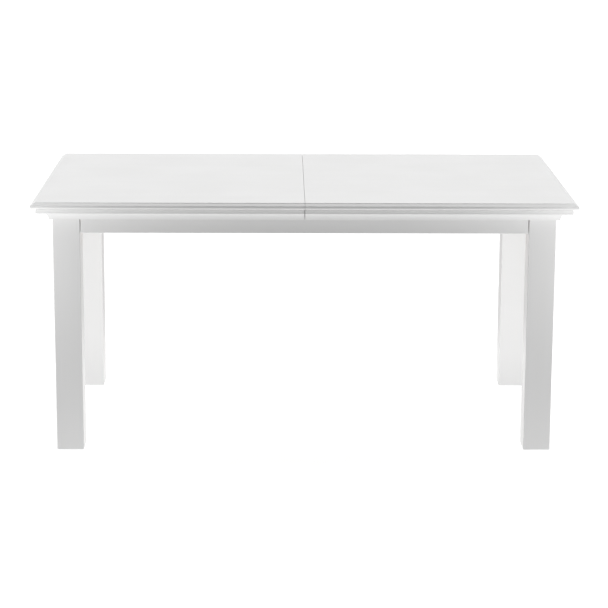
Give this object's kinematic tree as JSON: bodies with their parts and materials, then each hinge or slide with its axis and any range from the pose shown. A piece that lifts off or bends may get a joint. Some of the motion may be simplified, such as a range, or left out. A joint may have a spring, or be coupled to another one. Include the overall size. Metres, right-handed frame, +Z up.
{
  "type": "extendable dining table",
  "caption": "Rectangular dining table with square legs and a moulded top in two halves that slide apart over a folding leaf stored inside.",
  "frame": {"origin": "on the floor, under the middle of the closed table", "axes": "+X along the table to the right, +Y towards its back, +Z up"},
  "size_m": [1.6, 0.9, 0.77],
  "materials": {
    "white_lacquer": "satin white lacquer on solid wood",
    "bare_wood": "plain sanded beech, unfinished",
    "zinc_steel": "bright zinc plate",
    "cage_steel": "phosphated steel",
    "lever_brass": "satin brass",
    "glide_nylon": "moulded nylon"
  },
  "bodies": {
    "frame": {"leg_front_left": "white_lacquer", "glide_front_left": "glide_nylon", "corner_brace_front_left": "bare_wood", "leg_front_right": "white_lacquer", "glide_front_right": "glide_nylon", "corner_brace_front_right": "bare_wood", "leg_back_left": "white_lacquer", "glide_back_left": "glide_nylon", "corner_brace_back_left": "bare_wood", "leg_back_right": "white_lacquer", "glide_back_right": "glide_nylon", "corner_brace_back_right": "bare_wood", "apron_front": "white_lacquer", "apron_back": "white_lacquer", "apron_left": "white_lacquer", "apron_right": "white_lacquer", "cross_bearer_left": "bare_wood", "leaf_hinge_left_lower_cup": "zinc_steel", "leaf_hinge_left_upper_cup": "zinc_steel", "leaf_hinge_left_link": "zinc_steel", "leaf_pivot_pin_left": "zinc_steel", "leaf_pivot_saddle_left": "glide_nylon", "leaf_rest_left": "bare_wood", "cross_bearer_right": "bare_wood", "leaf_hinge_right_lower_cup": "zinc_steel", "leaf_hinge_right_upper_cup": "zinc_steel", "leaf_hinge_right_link": "zinc_steel", "leaf_pivot_pin_right": "zinc_steel", "leaf_pivot_saddle_right": "glide_nylon", "leaf_rest_right": "bare_wood", "slide_track_front": "zinc_steel", "slide_track_back": "zinc_steel", "leaf_lower_half": "white_lacquer", "leaf_dowel_lower": "bare_wood", "leaf_upper_half": "white_lacquer", "leaf_dowel_upper": "bare_wood"},
    "left_top": {"tabletop_left": "white_lacquer", "moulding_front_left": "white_lacquer", "moulding_back_left": "white_lacquer", "moulding_end_left": "white_lacquer", "slide_rail_front_left": "zinc_steel", "slide_rail_back_left": "zinc_steel", "seam_dowel_front": "bare_wood", "seam_dowel_back": "bare_wood", "lock_base_front": "zinc_steel", "lock_base_back": "zinc_steel"},
    "right_top": {"tabletop_right": "white_lacquer", "moulding_front_right": "white_lacquer", "moulding_back_right": "white_lacquer", "moulding_end_right": "white_lacquer", "slide_rail_front_right": "zinc_steel", "slide_rail_back_right": "zinc_steel", "lock_keeper_front": "zinc_steel", "lock_keeper_back": "zinc_steel"},
    "left_cages": {"ball_cage_front_left": "cage_steel", "ball_cage_back_left": "cage_steel"},
    "right_cages": {"ball_cage_front_right": "cage_steel", "ball_cage_back_right": "cage_steel"},
    "front_lever": {"lock_lever_front": "lever_brass"},
    "back_lever": {"lock_lever_back": "lever_brass"}
  },
  "joints": [
    {"name": "left_top_slide", "type": "slide", "parent": "frame", "child": "left_top", "axis": [-1, 0, 0], "range_m": [0, 0.2]},
    {"name": "right_top_slide", "type": "slide", "parent": "frame", "child": "right_top", "axis": [1, 0, 0], "range_m": [0, 0.2]},
    {"name": "left_cage_slide", "type": "slide", "parent": "frame", "child": "left_cages", "axis": [-1, 0, 0], "range_m": [0, 0.1]},
    {"name": "right_cage_slide", "type": "slide", "parent": "frame", "child": "right_cages", "axis": [1, 0, 0], "range_m": [0, 0.1]},
    {"name": "front_lever_turn", "type": "hinge", "parent": "left_top", "child": "front_lever", "pos_m": [-0.012, -0.2899, 0.7493], "axis": [0, 0, 1], "range_deg": [0, 90]},
    {"name": "back_lever_turn", "type": "hinge", "parent": "left_top", "child": "back_lever", "pos_m": [-0.012, 0.2899, 0.7493], "axis": [0, 0, -1], "range_deg": [0, 90]}
  ],
  "couplings": [
    {"joint": "left_cage_slide", "follows": "left_top_slide", "ratio": 0.5},
    {"joint": "right_cage_slide", "follows": "right_top_slide", "ratio": 0.5}
  ]
}
